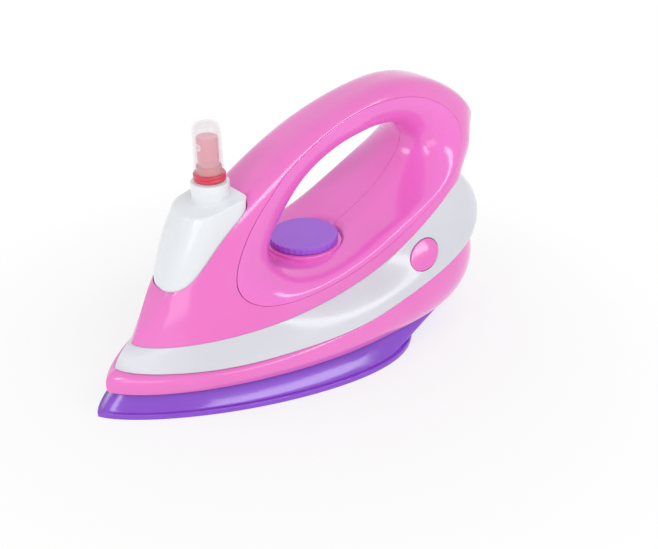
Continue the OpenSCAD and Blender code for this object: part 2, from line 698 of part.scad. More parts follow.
// The sprayer on the neck, from its gasket upwards
ring_z = neck_top_z + gasket_t;
plug_z = ring_z - plug_l;
collar_z = ring_z + ring_h;
plate_z = ring_z - plate_t/2;
piston_top_z = plate_z - seam/2;
chamber_z = plate_z - chamber_l;
cap_id = cap_d - 2*cap_wall;
pusher_z = plate_z + plate_t + pump_stroke + 2*seam;
stem_top_z = pusher_z + pusher_h/4;
module gasket() {
    color("#d8d8da") at_sprayer(neck_top_z) difference() {
        cylinder(d = ring_d - 2*seam, h = gasket_t);
        translate([0, 0, -over]) cylinder(d = neck_bore_d + 2*pump_fit, h = gasket_t + 2*over);
    }
}
module closure() {
    bead = ring_h/8;
    color("#e03a5f") at_sprayer(0) rotate_extrude() polygon([
        [stem_d/2 + pump_fit, plate_z], [chamber_collar_d/2 + pump_fit, plate_z],
        [chamber_collar_d/2 + pump_fit, plug_z], [neck_bore_d/2 - pump_fit, plug_z],
        [neck_bore_d/2 - pump_fit, ring_z], [ring_d/2 - bead, ring_z],
        [ring_d/2, ring_z + bead], [ring_d/2, ring_z + 3*bead], [ring_d/2 - bead, ring_z + 4*bead],
        [ring_d/2, ring_z + 5*bead], [ring_d/2, ring_z + 7*bead], [ring_d/2 - bead, collar_z],
        [cap_id/2 - pump_fit, collar_z], [cap_id/2 - pump_fit, collar_z + collar_h],
        [pusher_d/2 + seam, collar_z + collar_h], [pusher_d/2 + seam, plate_z + plate_t],
        [stem_d/2 + pump_fit, plate_z + plate_t]]);
}

// The pump in the plug: a chamber with a collar and an inlet, and its moving pieces
chamber_collar_d = neck_bore_d - 2*tank_wall*1.1;
inlet_d = chamber_bore_d*0.3;
ball_d = inlet_d*1.35;
chamber_floor_t = tank_wall;
nipple_l = tube_d*2.2;
seat_z = chamber_z + chamber_floor_t;
module pump_chamber() {
    color("#dfe3ea") at_sprayer(0) rotate_extrude() polygon([
        [inlet_d/2, chamber_z], [tube_d/2 + pump_fit, chamber_z],
        [tube_d/2 + pump_fit, chamber_z - nipple_l],
        [tube_d/2 + cap_wall, chamber_z - nipple_l], [tube_d/2 + cap_wall, chamber_z],
        [chamber_d/2, chamber_z + chamber_floor_t/2], [chamber_d/2, plug_z + 2*chamber_floor_t],
        [chamber_collar_d/2, plug_z + 3*chamber_floor_t], [chamber_collar_d/2, plate_z],
        [chamber_bore_d/2, plate_z], [chamber_bore_d/2, seat_z], [inlet_d/2, seat_z]]);
}
module pump_piston() {
    color("#f2f2f4") at_sprayer(0) rotate_extrude() polygon([
        [0, piston_top_z - piston_h], [chamber_bore_d/2 - pump_fit, piston_top_z - piston_h],
        [chamber_bore_d/2 - pump_fit, piston_top_z], [stem_d/2, piston_top_z], [stem_d/2, stem_top_z],
        [0, stem_top_z]]);
}
module pump_spring() {
    color("#b9bcc2") at_sprayer(seat_z)
        coil(pump_spring_d, pump_spring_turns, piston_top_z - piston_h - seat_z);
}
module inlet_ball() {
    drop = sqrt(pow(ball_d/2, 2) - pow(inlet_d/2, 2));
    color("#c9ccd2") at_sprayer(seat_z + drop) sphere(d = ball_d);
}
module dip_tube() {
    color("#eef0f4") at_sprayer(tank_floor_z + 2*tank_wall) difference() {
        cylinder(d = tube_d, h = chamber_z - tank_floor_z - 2*tank_wall);
        translate([0, 0, -over]) cylinder(d = tube_d/2, h = chamber_z - tank_floor_z + over);
    }
}
module actuator() {
    edge = pusher_d/10;
    way_d = stem_d/3;
    color("#e993aa") at_sprayer(pusher_z) difference() {
        rotate_extrude() polygon([
            [0, stem_top_z - pusher_z], [stem_d/2 + pump_fit, stem_top_z - pusher_z],
            [stem_d/2 + pump_fit, 0],
            [pusher_d/2, 0], [pusher_d/2, pusher_h - edge], [pusher_d/2 - edge, pusher_h],
            [0, pusher_h - edge/2]]);
        translate([0, 0, stem_top_z - pusher_z - over])
            cylinder(d = way_d, h = nozzle_h - stem_top_z + pusher_z + over);
        translate([0, 0, nozzle_h]) rotate([0, 90, 0]) cylinder(d = way_d, h = pusher_d);
        translate([pusher_d/4, 0, nozzle_h]) rotate([0, 90, 0])
            cylinder(d = nozzle_d + 2*pump_fit, h = pusher_d);
    }
}
module nozzle_insert() {
    color("#fbe9ec") at_sprayer(pusher_z + nozzle_h) translate([pusher_d/4, 0, 0])
        rotate([0, 90, 0]) difference() {
        cylinder(d = nozzle_d, h = pusher_d/4 + cap_wall/4);
        translate([0, 0, -over]) cylinder(d = nozzle_d/5, h = pusher_d);
    }
}
module overcap() {
    edge = cap_d/8;
    taper = cap_wall/2;
    color("#f4dfe4", 0.5) at_sprayer(collar_z) rotate_extrude() polygon(concat(
        [[cap_id/2, 0], [cap_d/2, 0], [cap_d/2, collar_h]],
        [for (a = [0:15:90]) [cap_d/2 - taper - edge + edge*cos(a), cap_h - edge + edge*sin(a)]],
        [[0, cap_h], [0, cap_h - cap_wall]],
        [for (a = [90:-15:0])
            [cap_id/2 - taper - edge + edge*cos(a), cap_h - cap_wall - edge + edge*sin(a)]],
        [[cap_id/2, collar_h]]));
}

// The dial, the seat that it turns in, and what holds it there
seat_r = dial_d/2 + dial_room + seat_rim_w;
seat_floor_depth = dial_t + seat_t*0.8;
module dial_seat() {
    hole_r = shaft_d/2 + shaft_fit;
    pan_r = dial_d/2 + dial_room;
    color("#ea5fc0") at_dial(0) rotate_extrude() polygon([
        [hole_r, -dial_t - seam], [seat_boss_d/2, -dial_t - seam], [seat_boss_d/2, -seat_floor_depth],
        [pan_r, -seat_floor_depth], [pan_r, -seat_floor_depth + seat_rim_h],
        [seat_r, -seat_floor_depth + seat_rim_h], [seat_r, -flange_depth],
        [seat_r + flange_w, -flange_depth],
        [seat_r + flange_w, -flange_depth - flange_t], [seat_r - flange_w, -flange_depth - flange_t],
        [seat_r - flange_w, -seat_floor_depth - seat_t], [seat_boss_d/2, -seat_floor_depth - seat_t],
        [seat_boss_d/2, -seat_boss_depth], [hole_r, -seat_boss_depth]]);
}
module dial_knob() {
    point_n = 6*dial_flutes;
    neck_r = shaft_d/2 - clip_t;
    clip_z = seat_boss_depth + clip_t;
    color("#9d64cf") at_dial(0) union() {
        translate([0, 0, -dial_t]) linear_extrude(dial_t) polygon([for (i = [0:point_n - 1])
            let (a = 360*i/point_n, r = dial_d/2 - flute_depth*pow(sin(a*dial_flutes/2), 2))
            [r*cos(a), r*sin(a)]]);
        rotate_extrude() polygon([
            [0, -dial_t/2], [0, -dial_t - shaft_l], [shaft_d/2 - clip_t/2, -dial_t - shaft_l],
            [shaft_d/2, -dial_t - shaft_l + clip_t/2],
                [shaft_d/2, -clip_z - clip_t - seam/2], [neck_r, -clip_z - clip_t - seam/2],
            [neck_r, -clip_z], [shaft_d/2, -clip_z], [shaft_d/2, -dial_t/2]]);
    }
}
module dial_washer() {
    color("#dcdde2") at_dial(seat_boss_depth + clip_t - seam/2) difference() {
        cylinder(d = seat_boss_d, h = clip_t - seam/2);
        translate([0, 0, -over]) cylinder(d = shaft_d + 2*shaft_fit, h = clip_t + 2*over);
    }
}
module dial_clip() {
    inner_r = shaft_d/2 - clip_t + pump_fit;
    color("#b9bcc2") at_dial(seat_boss_depth + 2*clip_t + seam/4) difference() {
        cylinder(d = seat_boss_d - clip_t, h = clip_t - seam/4);
        translate([0, 0, -over]) cylinder(r = inner_r, h = clip_t + 2*over);
        translate([0, -inner_r, -over]) cube([seat_boss_d, 2*inner_r, clip_t + 2*over]);
    }
}

// A side button on one side, with its spring
module side_button(side) {
    ball_r = (pow(button_l/2, 2) + pow(button_dome, 2))/(2*button_dome);
    color("#ef6cc6") at_button(side, button_t) difference() {
        union() {
            button_oval(button_flange_w, button_flange_t);
            intersection() {
                button_oval(0, button_t + 2*button_dome);
                translate([0, 0, button_t + button_dome - ball_r]) sphere(r = ball_r, $fn = 96);
            }
        }
        translate([0, 0, -over]) cylinder(d = button_spring_d + 2*button_room, h = over + spring_hole_l);
    }
}
spring_hole_l = button_t/3;
module button_spring(side) {
    color("#b9bcc2") at_button(side, button_post_depth)
        coil(button_spring_d, button_spring_turns, button_post_depth - button_t + spring_hole_l);
}
module side_button_left() {
    side_button(1);
}
module side_button_right() {
    side_button(-1);
}
module button_spring_left() {
    button_spring(1);
}
module button_spring_right() {
    button_spring(-1);
}

sole_plate();
base_skirt();
side_band();
body_shell();
liner_left();
liner_right();
water_tank();
closure();
gasket();
pump_chamber();
pump_piston();
pump_spring();
inlet_ball();
dip_tube();
actuator();
nozzle_insert();
overcap();
dial_seat();
dial_knob();
dial_washer();
dial_clip();
side_button_left();
side_button_right();
button_spring_left();
button_spring_right();
sole_screws();
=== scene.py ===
"""Looks of the toy iron: smooth moulded shells, bottle, sprayer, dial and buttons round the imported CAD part.

The curves repeat those of the CAD source, in millimetres, on finer grids and with rounded edges.
"""
import math

import bmesh
import bpy
import numpy as np
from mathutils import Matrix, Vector

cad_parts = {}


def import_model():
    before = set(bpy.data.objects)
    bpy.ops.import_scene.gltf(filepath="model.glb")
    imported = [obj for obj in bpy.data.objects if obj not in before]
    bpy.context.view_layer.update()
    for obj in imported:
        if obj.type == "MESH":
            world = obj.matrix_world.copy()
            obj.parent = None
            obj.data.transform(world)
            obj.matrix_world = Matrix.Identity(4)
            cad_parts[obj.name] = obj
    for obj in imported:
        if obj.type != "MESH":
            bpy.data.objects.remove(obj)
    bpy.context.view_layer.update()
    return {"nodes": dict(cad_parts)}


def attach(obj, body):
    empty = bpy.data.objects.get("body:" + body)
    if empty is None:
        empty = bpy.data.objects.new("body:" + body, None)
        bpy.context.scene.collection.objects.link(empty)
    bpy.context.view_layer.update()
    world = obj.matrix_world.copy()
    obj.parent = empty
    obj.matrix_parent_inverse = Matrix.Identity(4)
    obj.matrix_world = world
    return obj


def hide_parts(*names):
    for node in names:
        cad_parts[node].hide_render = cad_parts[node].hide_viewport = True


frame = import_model()
MM = 0.001
MERGE = 2e-6
TINY = 1e-4

# Sizes of the CAD source, in millimetres
BODY_L, BODY_H, WALL, SEAM = 220, 120, 2.2, 0.2
SOLE_W, RIM_T, LEDGE, SOLE_H, COVE_Z, SOLE_FLOOR = 107, 2.7, 2, 12.6, 9.4, 2.4
SKIRT_W, SKIRT_LOW, SKIRT_HIGH, FOOT_W, LIP_W = 102.4, 12.5, 41.7, 96, 1.4
SEAT_INSET, SOLE_INSET, SKIRT_FLOOR_Z = 3.2, 3.6, 14.6
BAND_W, WAIST_W, BAND_HIGH = 91, 99.4, 80
UPPER_W, GRIP_W, LIP = 70.5, 30, 5
TANK_BACK, TANK_L, TANK_W, TANK_WALL, TANK_GAP = 34.2, 39.4, 27.8, 1.6, 0.4
LEAN_Z, TANK_FLOOR_Z, SHOULDER_Z, SHOULDER_RISE = 53, 31, 83.3, 4.9
SPRAY_X, NECK_R, NECK_TOP, BORE_R = 44.6, 8.4, 94.2, 6.2
DIAL_X, DIAL_Z, DIAL_TILT, DIAL_R, DIAL_T, FLUTES, FLUTE_DEPTH = -5.2, 52.6, 1.5, 16.6, 3, 36, 0.3
SEAT_R, SHAFT_R = 18.3, 3
BUTTON_AT, BUTTON_TILT, BUTTON_YAW, BUTTON_ROLL = (-46.2, 41.6, 44.1), 41, 13, 37.6
BUTTON_LONG, BUTTON_WIDE, BUTTON_ROOM, BUTTON_T, BUTTON_DOME = 9.5, 6.15, 0.25, 7, 0.9
BUTTON_HOLE_R, BUTTON_FLANGE, BUTTON_FLANGE_T, BUTTON_LOW = 3.55, 1, 1.2, 2.4
SCREW_FRONT, SCREW_BACK, SCREW_R, SCREW_HEAD_R, SCREW_POST_R, HEAD_TOP = (56, 18), (-55, 27), 1.6, 2.9, 4, 2.1

# Shares and small sizes that shape single pieces
COVE_POWER = 0.8                # how the sole's slope bends between its ledge and its top
SKIRT_TUCK = 0.72               # share of the skirt's height that its inner face follows
UPPER_TURN = 0.52               # where along the groove the upper skin's strips turn to the spine
GROOVE_INSET, LIP_RUN = 0.004, 0.05
LINING_SWELL, LINING_TOP = 0.85, 58
BEVEL_DROP, BEVEL_THIN, BEVEL_SLOPE, BEVEL_BLEND = 3.5, 0.6, 1.3, 0.8
PLAN_BACK_POWER, PLAN_FRONT_POWER, PLAN_MIDDLE = 9, 2.8, 0.45
SHOULDER_SHARE, SHOULDER_POWER, FRONT_BOW = 0.667, 0.9, 0.12

# Control values of the curves
RIM = [0, 54/BODY_L, 0.023, 1.62, 2.6]
FOOT = [0.0275, 0.073, 0.054, 1.8, 3.6]
BULGE = [0.0295, 0.041, 0.064, 1.8, 3.6]
WAIST = [0.05, 0.043, 0.068, 1.75, 3.4]
BELLY = [0.066, 0, 0.082, 1.75, 3.3]
BROW = [0.091, 0.0705, 0.077, 2.85, 6]
FOOT_Z = [0.84, 0.82, 0.82, 0.86, 0.94, 1, 1.05, 1.1, 1.12, 1.12, 1.12]
BULGE_Z = [0.41, 0.41, 0.41, 0.415, 0.437, 0.472, 0.528, 0.588, 0.624, 0.647, 0.66]
WAIST_Z = [0.5, 0.463, 0.458, 0.46, 0.54, 0.604, 0.765, 0.911, 0.976, 0.995, 1]
BELLY_Z = [0.338, 0.314, 0.304, 0.321, 0.357, 0.401, 0.482, 0.57, 0.625, 0.632, 0.622]
BROW_Z = [0.374, 0.361, 0.377, 0.398, 0.423, 0.469, 0.554, 0.744, 0.919, 0.857, 0.781]
SPINE_X = [0.818, 0.764, 0.655, 0.477, 0.236, -0.027, -0.345, -0.655, -0.895, -1.0, -0.859]
RISE = [0, 0.1012, 0.2744, 0.4902, 0.6831, 0.8678, 0.9897, 1.0283, 0.7445, 0.3179, 0]
RIDGE = [0, 0.34, 0.7, 0.97, 1.03, 1.0, 0.97, 0.98, 1.12, 1.22, 0]
GROOVE_S = [0.297, 0.336, 0.433, 0.553, 0.663, 0.768, 0.798, 0.792, 0.7, 0.624, 0.56, 0.427, 0.417, 0.354]
GROOVE_V = [0.278, 0.087, 0.046, 0.041, 0.05, 0.046, 0.188, 0.38, 0.527, 0.595, 0.649, 0.592, 0.556, 0.479]
HOLE_X = [0.182, 0.209, 0.109, -0.055, -0.2, -0.364, -0.509, -0.609, -0.618, -0.518, -0.336, -0.127, 0.027, 0.1]
HOLE_Z = [0.533, 0.442, 0.383, 0.394, 0.429, 0.488, 0.575, 0.683, 0.767, 0.821, 0.821, 0.775, 0.683, 0.592]
GROOVE_MID = [0.56, 0.33]
HOLE_MID = [-0.25, 0.64]

# Fineness of the grids, and the radii of the moulded edges
STATIONS, ROWS, BACK_ROWS, COVE_ROWS = 200, 22, 8, 12
RIM_STATIONS, SPINE_STATIONS, TURNS, LINING_ROWS, LINING_BACK_ROWS = 216, 180, 320, 56, 20
ROUND_STEPS = 4
EDGE_R, LINE_R = 0.45, 0.28


# ---------------------------------------------------------------- curves
def mix(a, b, t):
    return a + (b - a)*t


def unit(v):
    return v/np.maximum(np.linalg.norm(v, axis=-1, keepdims=True), 1e-9)


def blend(a, b, c, d, t):
    return (a*(1 - t)**3 + b*(3*t**3 - 6*t**2 + 4) + c*(3*t + 3*t**2 - 3*t**3 + 1) + d*t**3)/6


def curve(controls, u, past=None):
    """A smooth curve over control values, straight out at its ends or mirrored at the last."""
    n = len(controls) - 1
    k = np.minimum((u*n).astype(int), n - 1)
    t = u*n - k
    last = 2*controls[n] - controls[n - 1] if past is None else past
    table = np.array([2*controls[0] - controls[1], *controls, last])
    if table.ndim == 1:
        return blend(*(table[k + j] for j in range(4)), t)
    rows = np.arange(len(u))
    return blend(*(table[k + j, rows] for j in range(4)), t[:, None])


def loop(controls, u):
    """A smooth closed curve over control values."""
    table, n = np.array(controls), len(controls)
    k = np.floor(u*n).astype(int)
    return blend(*(table[(k + j) % n] for j in (-1, 0, 1, 2)), u*n - k)


def outline(s, shares, width, z, deep=0.0):
    """Half an outline seen from above, from the nose at s = 0 to the heel at s = 1."""
    nose = BODY_L*(0.5 - shares[0]) - deep
    tail = -BODY_L*(0.5 - shares[1]) + deep
    wide = -shares[2]*BODY_L
    x = mix(nose, tail, (1 - np.cos(np.pi*s))/2)
    ahead = np.clip((x - wide)/(nose - wide), 0, 1)
    behind = np.clip((wide - x)/(wide - tail), 0, 1)
    y = np.where(x >= wide, (1 - ahead**shares[3])**(1/1.3), np.sqrt(1 - behind**shares[4]))
    y = np.where((s <= 0) | (s >= 1), 0, y*(width/2 - deep))
    return np.stack([x, y, z + 0*s], -1)


def foot(s, deep=0.0):
    return outline(s, FOOT, FOOT_W, SKIRT_LOW*curve(FOOT_Z, s), deep)


def bulge(s, deep=0.0):
    return outline(s, BULGE, SKIRT_W, SKIRT_HIGH*curve(BULGE_Z, s), deep)


def waist(s, deep=0.0):
    return outline(s, WAIST, WAIST_W, SKIRT_HIGH*curve(WAIST_Z, s), deep)


def belly(s, deep=0.0):
    return outline(s, BELLY, BAND_W, BAND_HIGH*curve(BELLY_Z, s), deep)


def brow(s, deep=0.0):
    return outline(s, BROW, UPPER_W, BAND_HIGH*curve(BROW_Z, s), deep)


def arch(low, middle, high, t):
    return low*(1 - t)**2 + (2*middle - (low + high)/2)*2*t*(1 - t) + high*t**2


def spine_line(s):
    low = BAND_HIGH*curve(BROW_Z, s)
    return np.stack([BODY_L/2*curve(SPINE_X, s), 0*s, mix(low, BODY_H, curve(RISE, s))], -1)


def spine(s, deep):
    along = unit(spine_line(np.minimum(1, s + 0.01)) - spine_line(np.maximum(0, s - 0.01)))
    return spine_line(s) - deep*np.stack([along[:, 2], 0*s, -along[:, 0]], -1)


def skin(s, v, deep=0.0):
    """The upper body's skin: v runs from the lower edge over the ridge to the spine."""
    ends = (s <= 0) | (s >= 1)
    low, top = brow(s, deep), spine(s, deep)
    half = np.where(ends, 0, np.maximum(0, GRIP_W/2*curve(RIDGE, s) - deep))
    ridge = top + half[:, None]*[0, 1, 0]
    side = mix(ridge, low, 0.55) + np.where(ends, 0, WALL*np.sin(np.pi*s))[:, None]*[0, 1, 0]
    inner = mix(ridge, top, 0.3)
    p = curve([low, side, mix(ridge, low, 0.1), inner, top], v, inner*[1, -1, 1])
    p[(v >= 1) | ends, 1] = 0
    return p


def groove(u):
    return np.stack([loop(GROOVE_S, u), loop(GROOVE_V, u)], -1)


# ---------------------------------------------------------------- meshes
def rounded(path, closed):
    """Rows of points from (row, radius) pairs, with each corner that has a radius turned in small steps."""
    rows = []
    for i, (row, radius) in enumerate(path):
        if not closed and i in (0, len(path) - 1) or not np.any(radius):
            rows.append(row)
            continue
        back, on = path[i - 1][0] - row, path[(i + 1) % len(path)][0] - row
        back_l, on_l = (np.linalg.norm(v, axis=-1, keepdims=True) for v in (back, on))
        r = np.minimum(radius, 0.48*np.minimum(back_l, on_l))
        a, b = row + unit(back)*r, row + unit(on)*r
        rows += [a*(1 - t)**2 + row*2*t*(1 - t) + b*t**2 for t in np.linspace(0, 1, ROUND_STEPS + 1)]
    return np.array(rows)


def weave(rows, wrap_rows=False, wrap_cols=False):
    """Points and four-sided faces of a grid."""
    n, m = rows.shape[:2]
    i, j = np.meshgrid(np.arange(n if wrap_rows else n - 1), np.arange(m if wrap_cols else m - 1), indexing="ij")
    i2, j2 = (i + 1) % n, (j + 1) % m
    faces = np.stack([i*m + j, i2*m + j, i2*m + j2, i*m + j2], -1).reshape(-1, 4)
    return rows.reshape(-1, 3), faces


def twin(points, faces):
    """Adds the mirrored half, and leaves out the faces that lie on the middle plane."""
    faces = faces[np.abs(points[faces][..., 1]).max(1) > TINY]
    return np.vstack([points, points*[1, -1, 1]]), np.vstack([faces, faces[:, ::-1] + len(points)])


def finish_mesh(mesh, angle):
    bm = bmesh.new()
    bm.from_mesh(mesh)
    bmesh.ops.remove_doubles(bm, verts=bm.verts, dist=MERGE)
    bmesh.ops.dissolve_degenerate(bm, edges=bm.edges, dist=MERGE)
    bmesh.ops.recalc_face_normals(bm, faces=bm.faces)
    bm.to_mesh(mesh)
    bm.free()
    mesh.polygons.foreach_set("use_smooth", [True]*len(mesh.polygons))
    mesh.set_sharp_from_angle(angle=math.radians(angle))


def piece(name, parts, body, material, replaces=(), angle=38):
    """A mesh object made of one or more (points, faces) in millimetres, which rides on a body."""
    mesh = bpy.data.meshes.new(name)
    count, points, faces = 0, [], []
    for p, f in parts:
        points.append(p)
        faces += (f + count).tolist()
        count += len(p)
    mesh.from_pydata((np.vstack(points)*MM).tolist(), [], faces)
    finish_mesh(mesh, angle)
    mesh.materials.append(material)
    obj = bpy.data.objects.new(name, mesh)
    bpy.context.scene.collection.objects.link(obj)
    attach(obj, body)
    if replaces:
        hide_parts(*replaces)
    return obj


def cut(obj, parts, angle=38):
    """Takes the closed solids in parts out of a piece."""
    cutters = bpy.data.meshes.new("cutter")
    points, faces = parts
    cutters.from_pydata((points*MM).tolist(), [], faces.tolist())
    finish_mesh(cutters, angle)
    tool = bpy.data.objects.new("cutter", cutters)
    bpy.context.scene.collection.objects.link(tool)
    modifier = obj.modifiers.new("cut", "BOOLEAN")
    modifier.operation, modifier.solver, modifier.object = "DIFFERENCE", "EXACT", tool
    bpy.context.view_layer.update()
    shaped = obj.evaluated_get(bpy.context.evaluated_depsgraph_get())
    mesh = bpy.data.meshes.new_from_object(shaped)
    obj.modifiers.clear()
    material = obj.data.materials[0]
    obj.data = mesh
    mesh.materials.clear()
    mesh.materials.append(material)
    mesh.name = obj.name
    bpy.data.objects.remove(tool)
    finish_mesh(mesh, angle)


def lathe(profile, segments=96, closed=True, bumps=None):
    """A solid of revolution about z from (radius, height, corner radius) points."""
    path = [(np.array([r, z], float), c) for r, z, c in profile]
    rows = rounded(path, closed)
    a = np.linspace(0, 2*np.pi, segments, endpoint=False)
    radius = rows[:, :1] + (0 if bumps is None else bumps(rows[:, :1], a[None]))
    grid = np.stack([radius*np.cos(a), radius*np.sin(a), rows[:, 1:] + 0*a], -1)
    return weave(grid, wrap_rows=closed, wrap_cols=True)


def moved(part, centre=(0, 0, 0), tilt=0.0, roll=0.0):
    """A part turned by roll degrees about x, then by tilt degrees about y, and put at a centre."""
    points, faces = part
    x, y, z = points.T
    c, s = math.cos(math.radians(roll)), math.sin(math.radians(roll))
    y, z = c*y - s*z, s*y + c*z
    c, s = math.cos(math.radians(tilt)), math.sin(math.radians(tilt))
    x, z = c*x + s*z, c*z - s*x
    return np.stack([x, y, z], -1) + centre, faces


# ---------------------------------------------------------------- materials
# Scale and detail of the three noises, how far haze changes the roughness, and the grain's depth in metres
CLOUDS, HAZE, GRAIN = (22, 3), (160, 5), (900, 2)
HAZE_LEAST, HAZE_MOST, GRAIN_DEPTH = 0.92, 1.12, 0.0004


def plastic(name, colour, deep, rough=0.16, coat=0.5, grain=0.02, scatter=0.06):
    """Moulded plastic: two close shades in slow clouds, faint handling haze and fine moulding grain."""
    material = bpy.data.materials.new(name)
    material.use_nodes = True
    nodes, links = material.node_tree.nodes, material.node_tree.links
    shader = nodes["Principled BSDF"]
    place = nodes.new("ShaderNodeTexCoord")
    clouds = nodes.new("ShaderNodeTexNoise")
    clouds.inputs["Scale"].default_value, clouds.inputs["Detail"].default_value = CLOUDS
    shades = nodes.new("ShaderNodeValToRGB")
    shades.color_ramp.elements[0].position, shades.color_ramp.elements[1].position = 0.35, 0.68
    shades.color_ramp.elements[0].color = (*deep, 1)
    shades.color_ramp.elements[1].color = (*colour, 1)
    haze = nodes.new("ShaderNodeTexNoise")
    haze.inputs["Scale"].default_value, haze.inputs["Detail"].default_value = HAZE
    spread = nodes.new("ShaderNodeMapRange")
    spread.inputs["From Min"].default_value, spread.inputs["From Max"].default_value = 0.35, 0.7
    spread.inputs["To Min"].default_value = HAZE_LEAST*rough
    spread.inputs["To Max"].default_value = HAZE_MOST*rough
    fine = nodes.new("ShaderNodeTexNoise")
    fine.inputs["Scale"].default_value, fine.inputs["Detail"].default_value = GRAIN
    bump = nodes.new("ShaderNodeBump")
    bump.inputs["Strength"].default_value = grain
    bump.inputs["Distance"].default_value = GRAIN_DEPTH
    for texture in (clouds, haze, fine):
        links.new(place.outputs["Object"], texture.inputs["Vector"])
    links.new(clouds.outputs["Fac"], shades.inputs["Fac"])
    links.new(shades.outputs["Color"], shader.inputs["Base Color"])
    links.new(haze.outputs["Fac"], spread.inputs["Value"])
    links.new(spread.outputs["Result"], shader.inputs["Roughness"])
    links.new(fine.outputs["Fac"], bump.inputs["Height"])
    links.new(bump.outputs["Normal"], shader.inputs["Normal"])
    shader.inputs["IOR"].default_value = 1.5
    shader.inputs["Coat Weight"].default_value = coat
    shader.inputs["Coat Roughness"].default_value = 0.08
    if scatter:
        shader.inputs["Subsurface Weight"].default_value = scatter
        shader.inputs["Subsurface Radius"].default_value = (0.004, 0.002, 0.003)
        shader.inputs["Subsurface Scale"].default_value = 1
    return material


def clear_plastic(name, colour, rough, cover):
    """Frosted clear plastic with slow changes of tint and haze, which covers what is behind it in part."""
    material = plastic(name, colour, tuple(0.96*c for c in colour), rough=rough, coat=0.2, grain=0.03, scatter=0)
    shader = material.node_tree.nodes["Principled BSDF"]
    shader.inputs["Alpha"].default_value = cover
    return material


def metal(name, colour, rough):
    """Plated steel with fine uneven polish."""
    material = plastic(name, colour, tuple(0.85*c for c in colour), rough=rough, coat=0, grain=0.05, scatter=0)
    material.node_tree.nodes["Principled BSDF"].inputs["Metallic"].default_value = 1
    return material


def srgb(text):
    """A colour written as six hexadecimal digits, as linear values."""
    values = [int(text[i:i + 2], 16)/255 for i in (0, 2, 4)]
    return tuple(v/12.92 if v <= 0.04045 else ((v + 0.055)/1.055)**2.4 for v in values)


PINK = plastic("pink_plastic", srgb("F57ACF"), srgb("F270C9"))
# The body's pink made lighter for the hand hole's linings and the dial's seat: painted light that makes up for the
# shade inside the hollow
HOLLOW_PINK_PAINTED_LIGHTER = plastic("hollow_pink_painted_lighter", srgb("F87CD8"), srgb("F574D2"))
WHITE = plastic("white_plastic", srgb("DEDFE7"), srgb("D9DAE2"), rough=0.24, coat=0.2, scatter=0.04)
BOTTLE = plastic("bottle_plastic", srgb("F2F4F8"), srgb("ECEFF4"), rough=0.22, scatter=0.12)
VIOLET = plastic("violet_plastic", srgb("9048D6"), srgb("8842CE"), coat=0.3)
DIAL = plastic("dial_plastic", srgb("A86CEC"), srgb("A265E6"), rough=0.38, coat=0.05, grain=0.015)
RED = plastic("red_plastic", srgb("E02A52"), srgb("D5254C"), rough=0.2)
GREY = plastic("pump_plastic", srgb("E6E8EC"), srgb("DDE0E5"), rough=0.35, coat=0)
RUBBER = plastic("gasket_rubber", srgb("D4D4D6"), srgb("C8C8CA"), rough=0.6, coat=0, grain=0.1)
STEEL = metal("spring_steel", srgb("C4C6CA"), 0.28)
PUSHER = plastic("pusher_plastic", srgb("E8708F"), srgb("E06284"), rough=0.25)
CLEAR = clear_plastic("clear_plastic", srgb("F4F2F4"), 0.1, 0.2)
NOZZLE = plastic("nozzle_plastic", srgb("F8DDE3"), srgb("F3D2DA"), rough=0.25)


# ---------------------------------------------------------------- camera
SENSOR_W, FOCAL_PX, PICTURE_W_PX = 36, 866.3575914, 658
CAMERA_PLACE, CAMERA_TARGET = (0.22130294, 0.29402846, 0.24371758), (-0.02107541, 0, 0.02371758)


def camera():
    data = bpy.data.cameras.new("camera")
    data.sensor_width = SENSOR_W
    data.lens = SENSOR_W*FOCAL_PX/PICTURE_W_PX
    data.clip_start, data.clip_end = 0.01, 20
    obj = bpy.data.objects.new("camera", data)
    bpy.context.scene.collection.objects.link(obj)
    obj.location = CAMERA_PLACE
    obj.rotation_euler = (Vector(CAMERA_TARGET) - Vector(CAMERA_PLACE)).to_track_quat("-Z", "Y").to_euler()
    bpy.context.scene.camera = obj


camera()


# ---------------------------------------------------------------- moulded shells
S = np.linspace(0, 1, STATIONS + 1)


def flat_ring(shares, width, z, deep):
    """An outline's points at every station."""
    return outline(S, shares, width, z, deep)


def to_middle(row):
    return row*[1, 0, 1]


def sole():
    """The violet sole: a rim, a sloping side and a hollow top."""
    ledge = flat_ring(RIM, SOLE_W, RIM_T, LEDGE)
    shore = flat_ring(FOOT, FOOT_W, COVE_Z, SOLE_INSET)
    floor = flat_ring(RIM, SOLE_W, SOLE_FLOOR, LEDGE + 2*WALL)
    under = flat_ring(RIM, SOLE_W, 0, 0)
    path = [(to_middle(under), 0), (under, 0.5), (flat_ring(RIM, SOLE_W, RIM_T, 0), 0.9), (ledge, 0.5)]
    path += [(mix(ledge, shore, (k/COVE_ROWS)**COVE_POWER), 0) for k in range(1, COVE_ROWS)]
    path += [(shore, 0), (flat_ring(FOOT, FOOT_W, SOLE_H, SOLE_INSET), 0.3),
             (flat_ring(FOOT, FOOT_W, SOLE_H, SOLE_INSET + WALL), 0.3),
             (flat_ring(FOOT, FOOT_W, COVE_Z + 0.8*WALL, SOLE_INSET + WALL), 0), (floor, 0.5), (to_middle(floor), 0)]
    return twin(*weave(rounded(path, False)))


def wall_rows(face, count, radius):
    """The outer face's rows between two edges, keeping clear of them by more than the edges' radius."""
    rows = [face(np.full_like(S, t)) for t in np.linspace(0, 1, count + 1)]
    length = sum(np.linalg.norm(b - a, axis=-1) for a, b in zip(rows, rows[1:]))
    clear = np.minimum(0.25, 1.6*radius/np.maximum(length, 1e-6))
    inner = [(face(clear + (1 - 2*clear)*t), 0) for t in np.linspace(0, 1, count + 1)]
    return [(rows[0], radius), *inner, (rows[-1], radius)]


